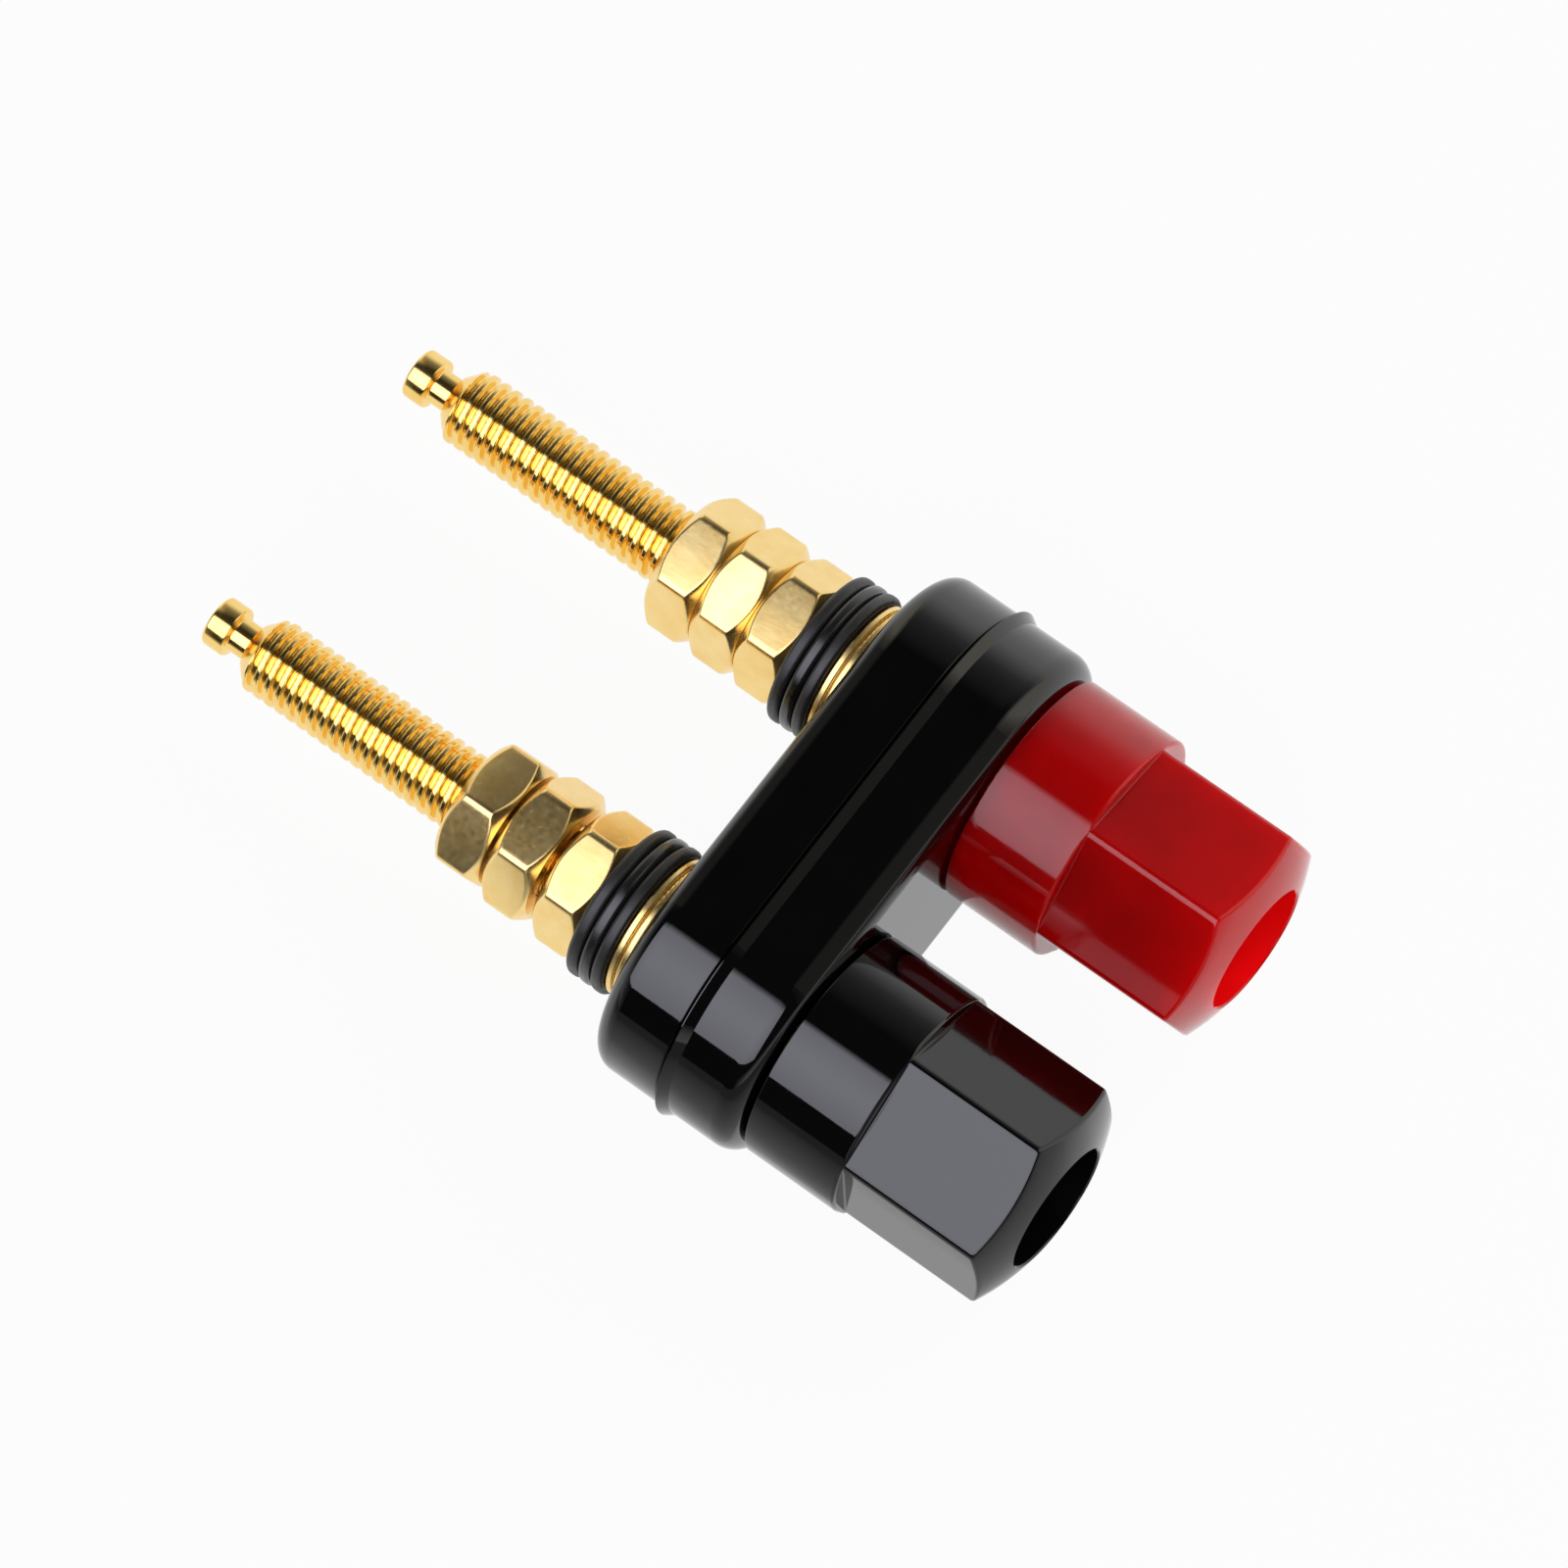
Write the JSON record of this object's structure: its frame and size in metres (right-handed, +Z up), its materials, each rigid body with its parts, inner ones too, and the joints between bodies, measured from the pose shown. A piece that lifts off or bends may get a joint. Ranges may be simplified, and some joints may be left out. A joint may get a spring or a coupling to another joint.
{
  "type": "speaker terminal",
  "caption": "Speaker terminal with red and black screw-down binding posts, hexagonal caps, plug sockets and threaded rear studs on an oblong insulating base.",
  "frame": {"origin": "middle point between the two post axes, on the plane where the front and rear base plates meet and clamp a panel", "axes": "+Y along the posts towards the threaded studs, +X from the black post to the red post, +Z up across the width of the base"},
  "size_m": [0.0362, 0.0606, 0.0172],
  "materials": {
    "red_plastic": "polished moulded plastic",
    "black_plastic": "polished moulded plastic",
    "black_ring": "smooth insulating ring",
    "gold_plate": "gold plated turned brass"
  },
  "bodies": {
    "base": {"front_plate": "black_plastic", "rear_plate": "black_plastic", "post_red": "gold_plate", "stop_ring_red": "gold_plate", "washer_red_1": "gold_plate", "washer_red_2": "gold_plate", "ring_red_1": "black_ring", "ring_red_2": "black_ring", "ring_red_3": "black_ring", "nut_red_1": "gold_plate", "nut_red_2": "gold_plate", "nut_red_3": "gold_plate", "post_black": "gold_plate", "stop_ring_black": "gold_plate", "washer_black_1": "gold_plate", "washer_black_2": "gold_plate", "ring_black_1": "black_ring", "ring_black_2": "black_ring", "ring_black_3": "black_ring", "nut_black_1": "gold_plate", "nut_black_2": "gold_plate", "nut_black_3": "gold_plate"},
    "red_insert": {"insert_red": "gold_plate"},
    "red_cap": {"cap_red": "red_plastic"},
    "black_insert": {"insert_black": "gold_plate"},
    "black_cap": {"cap_black": "black_plastic"}
  },
  "joints": [
    {"name": "red_travel", "type": "slide", "parent": "base", "child": "red_insert", "axis": [0, -1, 0], "range_m": [0, 0.005]},
    {"name": "red_turn", "type": "hinge", "parent": "red_insert", "child": "red_cap", "pos_m": [0.0095, 0, 0], "axis": [0, -1, 0], "range_deg": [0, 1800]},
    {"name": "black_travel", "type": "slide", "parent": "base", "child": "black_insert", "axis": [0, -1, 0], "range_m": [0, 0.005]},
    {"name": "black_turn", "type": "hinge", "parent": "black_insert", "child": "black_cap", "pos_m": [-0.0095, 0, 0], "axis": [0, -1, 0], "range_deg": [0, 1800]}
  ],
  "couplings": [
    {"joint": "red_turn", "follows": "red_travel", "rad_per_m": 6283.2},
    {"joint": "black_turn", "follows": "black_travel", "rad_per_m": 6283.2}
  ]
}
